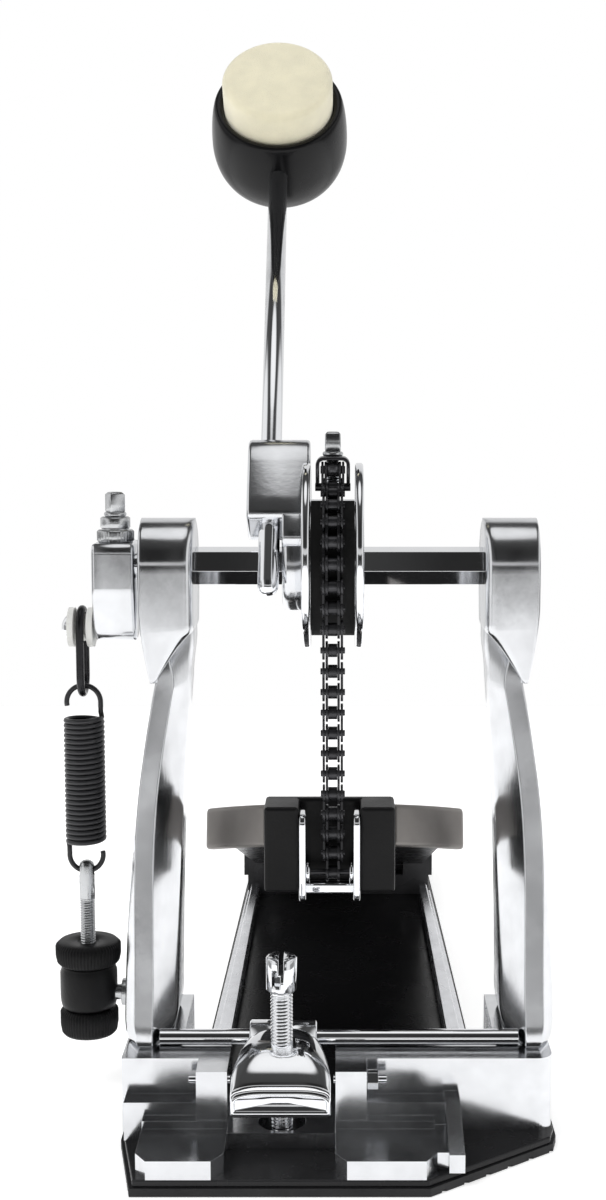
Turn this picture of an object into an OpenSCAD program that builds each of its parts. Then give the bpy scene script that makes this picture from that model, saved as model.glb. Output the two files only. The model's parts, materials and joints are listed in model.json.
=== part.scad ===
// Single bass drum pedal with chain drive, hex axle, side spring and hoop clamp.
// Millimetres.  X across the pedal, -Y towards the drum, +Y towards the heel, +Z up.
// The origin is on the floor, straight under the axle and midway between the posts.

/* [Axle] */
// Height of the axle above the floor
axle_z = 205; // [190:1:220]
// Width of the hexagonal axle across its flats
hex_af = 12.7; // [11:0.1:13.5]
// Radius of the axle's round ends
journal_r = 5; // [4:0.1:5.5]
// Distance from the middle plane to the inner face of each bearing housing
housing_in = 53.9; // [52:0.1:56]
// Width of each bearing housing
housing_w = 20.3; // [18:0.1:22]
// Outer radius of each bearing housing
housing_r = 18; // [16:0.5:19]

/* [Base] */
// Thickness of the rubber mat
mat_t = 3; // [2:0.5:4]
// Thickness of the steel base plate
plate_t = 2.5; // [2:0.5:3]
// Height of the top of the frame casting
block_top = 32.7; // [31:0.1:34]
// Height of the lower hoop jaw
jaw_z = 12.2; // [11:0.1:13]
// Front end of the base
base_front = -91; // [-95:1:-88]
// Rear end of the base
base_back = 312; // [300:1:320]

/* [Clamp] */
// Centre of the clamp claw across the pedal
claw_x = -20.3; // [-22:0.1:-19]
// Width of the clamp claw
claw_w = 34.9; // [30:0.1:36]
// Radius of the claw's pivot rod
pivot_r = 2.9; // [2.5:0.1:3]
// Thread radius of the clamp bolt
bolt_r = 4; // [3.5:0.1:4.2]

/* [Cam] */
// Middle of the cam and the chain across the pedal
chain_x = -2.3; // [-3:0.1:-2]
// Distance between the cam flanges
cam_gap = 16.6; // [16:0.1:18]
// Thickness of one cam flange
flange_t = 3; // [2.5:0.1:3.2]
// Radius of a cam flange
flange_r = 34.8; // [34.5:0.1:36]
// Rise of the flange centre above the axle
flange_rise = 3.8; // [3:0.1:4]
// Radius of the chain's pitch line on the cam
cam_pitch_r = 30; // [30:0.1:30.5]

/* [Chain] */
// Pitch of the chain
chain_pitch = 8; // [8:0.01:8.02]
// Number of links between the cam and the footboard
span_links = 14; // [14:1:14]
// Travel of the first pin below the axle plane along the pedal
toe_pin_y = -12; // [-13:0.5:-10]

/* [Beater] */
// Backward lean of the beater rod
rod_lean = 37; // [35:1:39]
// Radius of the beater rod
rod_r = 4; // [3.8:0.1:4.1]
// Position of the rod across the pedal
rod_x = -26; // [-27:0.1:-25.5]
// Distance of the rod in front of the axle
rod_off = 12.4; // [12:0.1:13]
// Distance along the rod from the axle to the middle of the head
head_dist = 215.6; // [200:1:225]
// Radius of the felt
felt_r = 23.5; // [22:0.5:24.5]
// Largest radius of the beater housing
shell_r = 29.5; // [28.5:0.5:31]

/* [Spring] */
// Position of the spring across the pedal
spring_x = -97.3; // [-98:0.1:-97]
// Distance from the axle down to the spring roller
rocker_arm = 23.4; // [22:0.1:24]
// Outer radius of the spring coil
coil_r = 7.85; // [7:0.05:8]
// Radius of the spring wire
wire_r = 1; // [0.9:0.05:1.1]
// Height of the spring anchor's pivot
anchor_z = 38.3; // [37:0.1:40]

/* [Footboard] */
// Position of the heel hinge along the pedal
hinge_y = 240; // [240:1:242]
// Height of the heel hinge
hinge_z = 22; // [21.5:0.5:22]
// Slope of the footboard
board_slope = 18.8; // [18.5:0.1:19.5]
// Width of the footboard at its toe
board_w = 101; // [98:1:102]
// Thickness of the footboard
board_t = 5.5; // [5:0.5:6]
// Height of the toe lip
lip_h = 16.1; // [15:0.1:17]

/* [Hidden] */
$fn = 64;

// Small clearances: a press fit, a running fit and a gap between moving neighbours
press = 0.02;
running = 0.05;
gap = 0.3;

plate_top = mat_t + plate_t;
hex_r = hex_af / 2 / cos(30);
axle_at = [0, axle_z];

// Chain on the cam: the free span leaves the pitch circle along its tangent
span_len = chain_pitch * span_links;
toe_pin_d = sqrt(span_len * span_len + cam_pitch_r * cam_pitch_r);
toe_pin_drop = sqrt(toe_pin_d * toe_pin_d - toe_pin_y * toe_pin_y);
toe_pin = [toe_pin_y, axle_z - toe_pin_drop];
tangent_a = acos(cam_pitch_r / toe_pin_d) - atan2(toe_pin_drop, -toe_pin_y);
wrap_step = 2 * asin(chain_pitch / 2 / cam_pitch_r);
tangent_pin = axle_at + cam_pitch_r * [-cos(tangent_a), sin(tangent_a)];
wrap_last = 6;

// Place of pin number k: 0 at the tangent, positive round the cam, negative down the span
function pin_at(k) = k <= 0
    ? tangent_pin + (toe_pin - tangent_pin) * (-k / span_links)
    : axle_at + cam_pitch_r * [-cos(tangent_a + k * wrap_step), sin(tangent_a + k * wrap_step)];

// Points of an arc of radius r about c, from angle a to angle b
function arc(c, r, a, b, n = 8) =
    [for (i = [0:n]) c + r * [cos(a + (b - a) * i / n), sin(a + (b - a) * i / n)]];

// Chain link sizes across and along the link
plate_r = 3.4;
pin_r = 1.15;
roller_r = 2.45;
roller_w = 3.3;
link_t = 0.9;
inner_x = roller_w / 2 + 0.05;
outer_x = inner_x + link_t + gap;
pin_half = 4.5;

drum_r = 25;
lining_r = 26.3;
rod_tip = -20;
rod_top = 207;
roller_z = axle_z - rocker_arm;
roller_r_out = 7.5;
groove_r = 5.2;
link_wire_r = 1.5;
link_bend_r = groove_r + link_wire_r + 0.1;
hook_r = 6;
coil_low = 97.7;
coil_high = 148;
low_hook_z = 92.7;
high_hook_z = 153.2;
eye_z = low_hook_z - hook_r;
m6_r = 3;
key_sq = 5.9;
pivot_at = [-39, 35.5];
guide_at = [-58, 27.5];
bolt_y = -57;
pad_top = 21;
pad_t = 1.4;
pocket_x0 = claw_x - claw_w / 2 - 1.6;
pocket_x1 = claw_x + claw_w / 2 + 1.6;
rib_w = 11;
post_bolt_y = [-30, -14];
post_bolt_x = 69.5;
ball_path_r = 8.95;
ball_count = 9;
race_in_r = 7.4;
race_out_r = 10.5;
bearing_r = 13;
bearing_w = 8;
bearing_x = housing_in + 0.9;

// Extrudes a shape drawn in the Y-Z plane from x0 over the width w
module along_x(x0, w) {
    translate([x0, 0, 0]) rotate([90, 0, 90]) linear_extrude(w) children();
}

// A round bar along X centred on [y, z]
module bar_x(x0, w, at, r) {
    along_x(x0, w) translate(at) circle(r);
}

// Moves its children to the frame of the leaning beater rod
module leaned() {
    translate([0, 0, axle_z]) rotate([-rod_lean, 0, 0]) children();
}

// Moves its children to the footboard's frame: hinge at the origin, toe towards -Y
module on_board() {
    translate([0, hinge_y, hinge_z]) rotate([-board_slope, 0, 0]) children();
}

// A ring or part of a ring of round wire in the X-Z plane
module wire_arc(at, bend, r, from, sweep) {
    translate(at) rotate([90, 0, 0]) rotate([0, 0, from])
        rotate_extrude(angle = sweep) translate([bend, 0]) circle(r, $fn = 24);
}

// A square-headed screw that a drum key turns, with its seat at the origin
module key_screw(r, length, seat_r, head_h) {
    translate([0, 0, -length]) cylinder(length, r = r);
    cylinder(1.6, r = seat_r);
    translate([-key_sq / 2, -key_sq / 2, 1.6]) cube([key_sq, key_sq, head_h]);
}

// Outline of the base seen from above, drawn in by d
module base_outline(d) {
    polygon([[-78.4 + d, -54], [-71 + d, base_front + d], [31 - d / 2, base_front + d],
        [76.6 - d, -57], [78.4 - d, -50], [78.4 - d, 16 - d], [54 - d, 32],
        [49.5 - d, base_back - d], [-49.5 + d, base_back - d], [-54 + d, 32],
        [-78.4 + d, 16 - d]]);
}

module rubber_mat() {
    rib = 3;
    groove = 1.2;
    color("#161616") difference() {
        linear_extrude(mat_t) base_outline(0);
        for (y = [base_front + rib : 2 * rib : -46])
            translate([-90, y, -1]) cube([180, groove, 1 + mat_t / 3]);
    }
}

module base_plate() {
    color("#1b1b1d") translate([0, 0, mat_t]) linear_extrude(plate_t) base_outline(1);
}

// A polished side rail: a raised inner strip with a lower outer step
module side_rail(side) {
    front = 20;
    back = hinge_y - 8;
    color("#d8dade") translate([0, 0, plate_top]) {
        linear_extrude(6.5)
            polygon([[side * 43.4, front], [side * 49.4, front],
                [side * 46.4, back], [side * 42.2, back]]);
        linear_extrude(3)
            polygon([[side * 49.2, front], [side * 52.4, front],
                [side * 48.4, back], [side * 46.2, back]]);
    }
}

module side_rail_left() { side_rail(-1); }
module side_rail_right() { side_rail(1); }

// A lower hoop jaw: a flat foot with clipped corners and a ridge behind it
module jaw_foot(x0, x1) {
    clip = 4;
    linear_extrude(jaw_z - plate_top)
        polygon([[x0, -50], [x0, -84], [x0 + clip, -90], [x1 - clip, -90], [x1, -84], [x1, -50]]);
    translate([x0, -65, 0]) cube([x1 - x0, 15, 15 - plate_top]);
}

module frame_casting() {
    body_h = block_top - plate_top;
    ear_w = 20.5;
    ledge_z = 19.6;
    color("#c9ccd0") difference() {
        translate([0, 0, plate_top]) union() {
            linear_extrude(body_h)
                polygon(concat([[-78, -52], [-78, -36], [-78, 12]],
                    [[-78 + ear_w, 12], [-78 + ear_w, -35], [78 - ear_w, -35], [78 - ear_w, 12]],
                    [[77, 12]], [[77, -46]], arc([71, -46], 6, 0, -90)));
            jaw_foot(-69.5, pocket_x0);
            jaw_foot(pocket_x1, 33.6);
            along_x(37.6, 5.4) polygon([[-51, 0], [-51, ledge_z - plate_top + 1],
                [-58, ledge_z - plate_top + 1], [-85, 6.5], [-85, 0]]);
            translate([33, -82, 0]) cube([5, 31, 6]);
            for (run = [[-76.5, pocket_x0 - 10], [pocket_x1 + 10, 38]])
                translate([run[0], -60, 0]) cube([run[1] - run[0], 9, ledge_z - plate_top]);
            translate([pocket_x0 - rib_w, -64, 0]) cube([rib_w, 14, block_top - plate_top]);
            translate([pocket_x1, -64, 0]) cube([rib_w, 14, block_top - plate_top]);
            translate([pocket_x0 - 1, -67, 0])
                cube([pocket_x1 - pocket_x0 + 2, 33, 11.5 - plate_top]);
        }
        translate([pocket_x0, -66, 11.5]) cube([pocket_x1 - pocket_x0, 40, 30]);
        translate([claw_x, bolt_y, mat_t]) cylinder(12, r = 8.5);
        bar_x(-57.6, 115.2, pivot_at, 3.4);
        for (side = [-1, 1]) for (y = post_bolt_y) translate([side * post_bolt_x, y, 0]) {
            cylinder(11.5, r = 5.2);
            cylinder(60, r = m6_r + press);
        }
        for (x = [pocket_x0 - rib_w - 1, pocket_x1 - 1]) bar_x(x, rib_w + 2, guide_at, 1.5 + press);
    }
}

// Distance of a post's outer and inner faces from the middle plane at height z
function post_out(z) = 79 - 10 * pow(max(0, z - 40) / 121, 2.2);
function post_in(z) = 60.5 - 4.5 * pow(max(0, z - 40) / 121, 2);
// Front and rear faces of a post at height z
function post_front(z) = -45 + 31 * pow((z - block_top) / 140, 0.85);
function post_rear(z) = 6 + 7 * (z - block_top) / 140;

// One cast post: the front view's outline and the side view's outline, crossed
module post(side) {
    neck = 162;
    neck_half = housing_r - 1.4;
    steps = 9;
    rise = (neck - block_top) / steps;
    top = axle_z + housing_r + 1;
    housing_out = housing_in + housing_w;
    x0 = side > 0 ? housing_in - 1 : -housing_out - 8;
    difference() {
        intersection() {
            translate([0, 60, 0]) rotate([90, 0, 0]) linear_extrude(120)
                polygon(concat(
                    [for (i = [0:steps]) [side * post_out(block_top + i * rise), block_top + i * rise]],
                    [[side * (housing_out - 2), 176], [side * housing_out, 190],
                        [side * housing_out, top], [side * housing_in, top],
                        [side * housing_in, 184], [side * (housing_in + 1), 172]],
                    [for (i = [steps:-1:0]) [side * post_in(block_top + i * rise), block_top + i * rise]]));
            union() {
                bar_x(x0, housing_w + 9, axle_at, housing_r);
                along_x(x0, housing_w + 9) polygon(concat(
                    [for (i = [0:steps]) [post_front(block_top + i * rise), block_top + i * rise]],
                    [[-neck_half, axle_z - 6], [neck_half, axle_z - 6]],
                    [for (i = [steps:-1:0]) [post_rear(block_top + i * rise), block_top + i * rise]]));
            }
        }
        bar_x(side * bearing_x - (side > 0 ? 5 : bearing_w), bearing_w + 5, axle_at, bearing_r);
        bar_x(side > 0 ? bearing_x : -housing_out - 5, side > 0 ? 17.6 : housing_w + 5, axle_at, 7.6);
        bar_x(side * 60 - 6, 12, pivot_at, pivot_r + press);
        for (y = post_bolt_y) translate([side * post_bolt_x, y, 20]) cylinder(33, r = m6_r + press);
        if (side < 0) bar_x(-90, 23.6, [0, anchor_z], m6_r + press);
    }
}

module post_left() { color("#cdd0d4") post(-1); }
module post_right() { color("#cdd0d4") post(1); }

module post_bolts() {
    color("#8a8c90") for (side = [-1, 1]) for (y = post_bolt_y)
        translate([side * post_bolt_x, y, plate_top + gap]) {
            cylinder(5.4, r = 5);
            cylinder(46, r = m6_r);
        }
}

module pivot_rod() {
    color("#d9dbdf") bar_x(-65.5, 131, pivot_at, pivot_r);
}

module guide_screws() {
    color("#dcdcdc") {
        bar_x(pocket_x0 - rib_w - 3, rib_w + 3.8, guide_at, 1.5);
        bar_x(pocket_x1 - 0.8, rib_w + 8, guide_at, 1.5);
    }
}

module guide_nut() {
    color("#dcdcdc") difference() {
        along_x(pocket_x1 + rib_w + 0.2, 4) translate(guide_at) circle(3.6, $fn = 6);
        bar_x(pocket_x1 + rib_w, 5, guide_at, 1.5 + press);
    }
}

// A ring about the axle in each housing
module ring_pair(inner, outer) {
    for (side = [-1, 1]) difference() {
        bar_x(side * (bearing_x + bearing_w / 2) - bearing_w / 2, bearing_w, axle_at, outer);
        bar_x(side * (bearing_x + bearing_w / 2) - bearing_w, 2 * bearing_w, axle_at, inner);
    }
}

module bearing_outer_rings() { color("#b9bcc2") ring_pair(race_out_r, bearing_r - press); }
module bearing_inner_rings() { color("#b9bcc2") ring_pair(journal_r + press, race_in_r); }

module bearing_balls() {
    color("#e0e2e6") for (side = [-1, 1]) for (i = [0:ball_count - 1])
        translate([side * (bearing_x + bearing_w / 2), 0, axle_z])
            rotate([i * 360 / ball_count, 0, 0]) translate([0, ball_path_r, 0]) sphere(1.5);
}

module heel_plate() {
    back = base_back - 2;
    lug_y = hinge_y - 6;
    color("#1a1a1c") difference() {
        union() {
            translate([-48.4, lug_y, plate_top]) cube([95.8, back - lug_y, 16 - plate_top]);
            translate([-50.4, 251, 15.9]) cube([99.8, back - 251, 11.1]);
            for (x = [-50.4, 34]) translate([x, lug_y, 15.9]) cube([15.4, 17.2, 11.1]);
        }
        bar_x(-60, 120, [hinge_y, hinge_z], 3 + press);
        for (x = [-36, 36]) for (y = [264, 298]) translate([x, y, 0]) {
            cylinder(40, r = 2.5 + press);
            translate([0, 0, 24.4]) cylinder(10, r = 4.7);
        }
    }
}

module heel_screws() {
    color("#2a2a2c") for (x = [-36, 36]) for (y = [264, 298]) translate([x, y, 0]) difference() {
        union() {
            translate([0, 0, plate_top + 0.1]) cylinder(19, r = 2.5);
            translate([0, 0, 24.5]) cylinder(2.4, r = 4.5);
        }
        translate([0, 0, 25.4]) cylinder(3, r = 2, $fn = 6);
    }
}

module hinge_pin() {
    color("#9a9ca0") bar_x(-50, 99, [hinge_y, hinge_z], 3);
}

module anchor_bolt() {
    color("#c8cace") {
        bar_x(spring_x + m6_r + 1.4, 26, [0, anchor_z], m6_r);
        bar_x(-84.2, 3.6, [0, anchor_z], 5.2);
    }
}

// The claw's side view: an eye on the pivot rod, a domed back and a hooked tip
module claw_outline() {
    polygon(concat([[-38, 29.5], [-46, 27.5], [-63.5, 24.5], [-65.5, pad_top], [-72, pad_top]],
        arc([-72, pad_top + 2.5], 2.5, 270, 140, 4), arc([-52, 16], 26, 150, 62, 8),
        [[-38, 41.5]]));
}

module clamp_claw() {
    color("#b9bcc1") difference() {
        union() {
            along_x(claw_x - claw_w / 2, claw_w) claw_outline();
            bar_x(claw_x - claw_w / 2, claw_w, pivot_at, 6.6);
        }
        bar_x(claw_x - claw_w, 2 * claw_w, pivot_at, pivot_r + running);
        translate([claw_x, bolt_y, 0]) cylinder(60, r = bolt_r + running);
    }
}

module claw_pad() {
    color("#202022") translate([claw_x - claw_w / 2 + 1, -72.4, pad_top - pad_t])
        cube([claw_w - 2, 6.6, pad_t]);
}

module clamp_bolt() {
    color("#d5d7da") translate([claw_x, bolt_y, 0]) difference() {
        union() {
            translate([0, 0, 9]) cylinder(46, r = bolt_r);
            translate([0, 0, 54]) cylinder(7, r = 3.3);
            translate([0, 0, 60]) cylinder(12.7, r = 5.45);
            translate([0, 0, 9]) cylinder(2, r = 5);
        }
        translate([-0.9, -6, 67.5]) cube([1.8, 12, 6]);
        translate([0, 0, 64.6]) rotate([90, 0, 20]) cylinder(20, r = 1.6, center = true);
    }
}

// The axle: a hexagon between the posts, turned round where the bearings sit
module hex_axle() {
    face_tilt = 19;
    color("#b4b7bb") {
        translate([-housing_in, 0, axle_z]) rotate([-face_tilt - 90, 0, 0]) rotate([0, 90, 0])
            rotate([0, 0, 30]) cylinder(2 * housing_in, r = hex_r, $fn = 6);
        bar_x(-91.4, 91.4 + 72, axle_at, journal_r);
    }
}

// The axle's hexagon with a press clearance, for the bores of what it carries
module hex_hole() {
    translate([-60, 0, axle_z]) rotate([-109, 0, 0]) rotate([0, 90, 0])
        rotate([0, 0, 30]) cylinder(120, r = hex_r + press, $fn = 6);
}

cam_x0 = chain_x - cam_gap / 2;
cam_x1 = chain_x + cam_gap / 2;
saddle_y = 1;
saddle_low = axle_z + drum_r + 0.6;
saddle_high = axle_z + 41;
saddle_screw_y = 4.6;

module cam_flange(x0) {
    difference() {
        bar_x(x0, flange_t, axle_at + [0, flange_rise], flange_r);
        hex_hole();
    }
}

module cam_flange_left() { color("#d3d5d9") cam_flange(cam_x0 - flange_t); }
module cam_flange_right() { color("#d3d5d9") cam_flange(cam_x1); }

module cam_drum() {
    color("#a9acb0") difference() {
        bar_x(cam_x0, cam_gap, axle_at, drum_r);
        hex_hole();
        translate([chain_x, saddle_screw_y, axle_z + 12]) cylinder(20, r = 2.5 + press);
    }
}

// The lining lies on the drum from under the cam up to where the chain is anchored
module cam_lining() {
    color("#121212") translate([cam_x0 + 0.2, 0, axle_z]) rotate([90, 0, 90])
        rotate([0, 0, 108]) rotate_extrude(angle = 172)
            translate([drum_r + press, 0]) square([lining_r - drum_r, cam_gap - 0.4]);
}

// A saddle over the end of the chain, with a leg on each side of it
module chain_saddle() {
    half = 6.4;
    leg = 1.3;
    color("#3a3b3e") difference() {
        translate([chain_x - half, saddle_y - 8, saddle_low])
            cube([2 * half, 17, saddle_high - saddle_low]);
        translate([chain_x - half + leg, saddle_y - 9, saddle_low - 1])
            cube([2 * half - 2 * leg, 19, saddle_high - saddle_low - 2]);
        translate([chain_x, saddle_screw_y, axle_z + 30]) cylinder(20, r = 2.5 + press);
        bar_x(chain_x - 10, 20, pin_at(wrap_last), pin_r + 0.35 + press);
    }
}

module saddle_screw() {
    color("#77797d") translate([chain_x, saddle_screw_y, saddle_high])
        key_screw(2.5, 25, 3.9, 7.6);
}

module chain_anchor_pin() {
    color("#2c2c2e") bar_x(chain_x - 6.6, 13.2, pin_at(wrap_last), pin_r + 0.35);
}

// Side view of the link plate from pin k to the next, with holes of radius hole
module plate_outline(k, hole) {
    a = pin_at(k);
    b = pin_at(k + 1);
    waist = 5;
    difference() {
        union() {
            translate(a) circle(plate_r);
            translate(b) circle(plate_r);
            translate(a) rotate(atan2(b[1] - a[1], b[0] - a[0]))
                translate([0, -waist / 2]) square([norm(b - a), waist]);
        }
        if (hole > 0) translate(a) circle(hole);
        if (hole > 0) translate(b) circle(hole);
    }
}

// The two plates of link k: inner plates on even links, outer plates on odd ones
module link_plates(k, hole) {
    off = k % 2 == 0 ? inner_x : outer_x;
    along_x(chain_x + off, link_t) plate_outline(k, hole);
    along_x(chain_x - off - link_t, link_t) plate_outline(k, hole);
}

// A roller on pin k with a hole for the pin
module roller(k, hole) {
    difference() {
        bar_x(chain_x - roller_w / 2, roller_w, pin_at(k), roller_r);
        if (hole > 0) bar_x(chain_x - roller_w, 2 * roller_w, pin_at(k), hole);
    }
}

module chain_pin(k) {
    bar_x(chain_x - pin_half, 2 * pin_half, pin_at(k), pin_r);
}

module wrap_plates() {
    color("#1c1c1e") {
        link_plates(3, pin_r + press);
        link_plates(4, pin_r + running);
        difference() {
            link_plates(5, pin_r + press);
            bar_x(chain_x - 10, 20, pin_at(wrap_last), pin_r + 0.35 + press);
        }
    }
}

module wrap_pins() {
    color("#26262a") {
        for (k = [3:5]) chain_pin(k);
        for (k = [4:5]) roller(k, pin_r + running);
        roller(wrap_last, pin_r + 0.35 + press);
    }
}

// Link 1 hangs from link 2.  Its lower end is where the chain loop is opened, so it has no pin
module chain_link_1() {
    color("#1c1c1e") {
        difference() {
            link_plates(0, 0);
            bar_x(chain_x - 10, 20, pin_at(1), pin_r + running);
        }
        roller(0, 0);
        roller(1, pin_r + running);
    }
}

module chain_link_2() {
    color("#1c1c1e") {
        link_plates(1, 0);
        chain_pin(1);
        chain_pin(2);
    }
}

module chain_link_3() {
    color("#1c1c1e") {
        link_plates(2, pin_r + running);
        roller(2, pin_r + running);
        roller(3, pin_r + running);
    }
}

module span_plates() {
    color("#1c1c1e") {
        for (k = [-span_links : -2]) link_plates(k, pin_r + (k % 2 == 0 ? running : press));
        difference() {
            link_plates(-1, 0);
            bar_x(chain_x - 10, 20, pin_at(-1), pin_r + press);
        }
    }
}

module span_pins() {
    color("#26262a") {
        for (k = [-span_links + 1 : -1]) {
            chain_pin(k);
            roller(k, pin_r + running);
        }
        roller(-span_links, pin_r + running);
        for (side = [-1, 1])
            bar_x(chain_x + side * (outer_x + link_t + 0.25) - 0.25, 0.5, pin_at(0), pin_r);
    }
}

// The hub clamps the beater rod in a block that leans with it
module beater_hub() {
    boss_x0 = -21.1;
    block_x0 = -34.3;
    color("#c6c8cc") difference() {
        union() {
            bar_x(boss_x0, cam_x0 - flange_t - boss_x0, axle_at, 17);
            leaned() translate([block_x0, -rod_off - 9, 9])
                cube([cam_x0 - flange_t - block_x0, 19, 38]);
            leaned() translate([boss_x0, -rod_off - 9, -2])
                cube([cam_x0 - flange_t - boss_x0, 19, 12]);
        }
        hex_hole();
        leaned() translate([rod_x, -rod_off, -60]) cylinder(130, r = rod_r + running);
        leaned() translate([rod_x, -rod_off, 36]) rotate([-90, 0, 0]) cylinder(30, r = m6_r + press);
    }
}

module hub_screw() {
    color("#8c8e92") leaned() translate([rod_x, -rod_off + 10, 36]) rotate([-90, 0, 0])
        key_screw(m6_r, 10 - rod_r - 0.1, 4.4, 6.8);
}

module beater_rod() {
    color("#d7d9dc") leaned() translate([rod_x, -rod_off, 0]) {
        translate([0, 0, rod_tip + rod_r]) cylinder(rod_top - rod_tip - rod_r, r = rod_r);
        translate([0, 0, rod_tip + rod_r]) sphere(rod_r);
    }
}

// Moves its children so that +Z is the way the felt faces, with the rod's axis at the origin
module head_frame() {
    leaned() translate([rod_x, -rod_off, head_dist]) rotate([90, 0, 0]) children();
}

felt_seat = 10.4;
felt_front = 29.5;

module beater_housing() {
    color("#161618") difference() {
        head_frame() rotate_extrude()
            polygon([[0, 13.4], [felt_r + 1, 13.4], [felt_r + 1.6, 14.4], [27.2, 12.4], [shell_r - 1, 5.5],
                [shell_r, -4], [shell_r - 0.8, -13], [26.4, -20], [21.5, -26.5], [13, -31], [0, -32.5]]);
        leaned() translate([rod_x, -rod_off, 100]) cylinder(rod_top - 100, r = rod_r + press);
        head_frame() translate([0, 0, felt_seat]) cylinder(10, r = felt_r + press);
    }
}

module beater_felt() {
    color("#efe9c6") head_frame() translate([0, 0, felt_seat]) rotate_extrude()
        polygon(concat([[0, 0], [felt_r, 0]],
            arc([felt_r - 4, felt_front - felt_seat - 4], 4, 0, 90, 5), [[0, felt_front - felt_seat]]));
}

// The rocker hangs from the axle's left end and carries the roller for the spring
rocker_x0 = -92;
rocker_w = 15.8;

module spring_rocker() {
    color("#c4c6ca") difference() {
        along_x(rocker_x0, rocker_w) translate(axle_at)
            polygon(concat([[-11, 9], [-11, -8]], arc([0, -20.5], 8, 180, 360, 10), [[11, -8], [11, 9]]));
        bar_x(rocker_x0 - 1, rocker_w + 2, axle_at, journal_r + press);
        bar_x(rocker_x0 - 1, 13, [0, roller_z], 2.5 + press);
        translate([rocker_x0 + rocker_w / 2, 0, axle_z]) cylinder(20, r = m6_r + press);
    }
}

module rocker_collar() {
    color("#b4b6ba") translate([rocker_x0 + rocker_w / 2, 0, axle_z + 9]) difference() {
        union() {
            cylinder(4.6, r = 7);
            translate([0, 0, 4.6]) cylinder(5, r = 5.6);
        }
        translate([0, 0, -1]) cylinder(12, r = m6_r + press);
    }
}

module rocker_screw() {
    color("#8c8e92") translate([rocker_x0 + rocker_w / 2, 0, axle_z + 18.6]) rotate([0, 0, 30])
        key_screw(m6_r, 13.5, 4.2, 7.6);
}

module roller_screw() {
    head_x = -102.3;
    color("#c9cbcf") translate([0, 0, roller_z]) {
        bar_x(head_x, 22, [0, 0], 2.5);
        difference() {
            intersection() {
                bar_x(head_x - 2.6, 2.6, [0, 0], 5);
                translate([head_x + 3.4, 0, 0]) sphere(6.1);
            }
            bar_x(head_x - 4, 2.4, [0, 0], 1.5);
        }
    }
}

module spring_roller() {
    face = 3.1;
    color("#eeeeea") translate([-102.2, 0, roller_z]) rotate([0, 90, 0]) rotate_extrude()
        polygon([[2.5 + running, 0], [roller_r_out, 0], [roller_r_out, face - 0.8], [groove_r, face],
            [groove_r, face + 3.4], [roller_r_out, face + 4.2], [roller_r_out, 9.6],
            [2.5 + running, 9.6]]);
}

// A closed wire link round the roller and through the spring's upper loop
module spring_link() {
    low = high_hook_z + hook_r - wire_r - link_wire_r - gap + link_bend_r;
    color("#141416") {
        translate([spring_x, 0, roller_z]) rotate([0, 0, 90])
            wire_arc([0, 0, 0], link_bend_r, link_wire_r, 0, 180);
        translate([spring_x, 0, low]) rotate([0, 0, 90])
            wire_arc([0, 0, 0], link_bend_r, link_wire_r, 180, 180);
        for (side = [-1, 1]) translate([spring_x, side * link_bend_r, low])
            cylinder(roller_z - low, r = link_wire_r, $fn = 24);
    }
}

module spring_upper_hook() {
    color("#101012") wire_arc([spring_x, 0, high_hook_z], hook_r, wire_r, -78, 290);
}

module spring_lower_hook() {
    color("#101012") wire_arc([spring_x, 0, low_hook_z], hook_r, wire_r, 102, 290);
}

module spring_coil() {
    color("#101012") translate([spring_x, 0, coil_low]) difference() {
        cylinder(coil_high - coil_low, r = coil_r);
        translate([0, 0, -1]) cylinder(coil_high - coil_low + 2, r = coil_r - 2 * wire_r);
    }
}

// A threaded rod with a flat eye for the spring's lower loop
module tension_rod() {
    eye_half = 4.4;
    color("#a8aaae") difference() {
        union() {
            translate([spring_x, 0, 24]) cylinder(56, r = m6_r);
            translate([spring_x - 1.6, 0, 0]) {
                bar_x(0, 3.2, [0, eye_z], eye_half);
                translate([0, -eye_half, 78]) cube([3.2, 2 * eye_half, eye_z - 78]);
            }
        }
        bar_x(spring_x - 4, 8, [0, eye_z], wire_r + 0.9);
        translate([spring_x - 10, -10, 77]) cube([20 / 2 - 1.6, 20, 20]);
        translate([spring_x + 1.6, -10, 77]) cube([10, 20, 20]);
    }
}

module anchor_body() {
    color("#17171a") difference() {
        translate([spring_x, 0, 33]) cylinder(17, r = 11);
        translate([spring_x, 0, 30]) cylinder(30, r = m6_r + running);
        bar_x(spring_x + m6_r + 1, 20, [0, anchor_z], m6_r + running);
    }
}

// A thumb nut on the tension rod
module thumb_nut(z0, h, r) {
    translate([spring_x, 0, z0]) difference() {
        cylinder(h, r = r);
        translate([0, 0, -1]) cylinder(h + 2, r = m6_r + running);
    }
}

module upper_knob() { color("#17171a") thumb_nut(50.5, 8.5, 12.6); }
module lower_knob() { color("#17171a") thumb_nut(22.4, 10.2, 11.2); }

// The toe end of the footboard is round: an arc of this radius about this centre
toe_r = 64.5;
lip_t = 5;
lip_drop = 7.5;
toe_c = [-1.6, 64.5 - 264.5];
block_x = [-28, 21];
block_y = [-20, -1];
block_z = [84, 116.5];

// Outline of the footboard in its own frame
module board_outline() {
    edge_r = toe_r - lip_t - 0.05;
    a = acos((board_w / 2 - lip_t) / edge_r);
    polygon(concat([[-33.4, -4], [33.4, -4], [33.4, -12], [44, -12], [44, -60]],
        arc(toe_c, edge_r, -a, a - 180, 16), [[-44.5, -60], [-44, -12], [-33.4, -12]]));
}

// The space taken by the toe block and the chain's bracket, grown by d
module toe_block_space(d) {
    translate([block_x[0] - d, block_y[0] - 20, block_z[0] - 30])
        cube([block_x[1] - block_x[0] + 2 * d, block_y[1] - block_y[0] + 20 + d,
            block_z[1] - block_z[0] + 50]);
}

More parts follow.
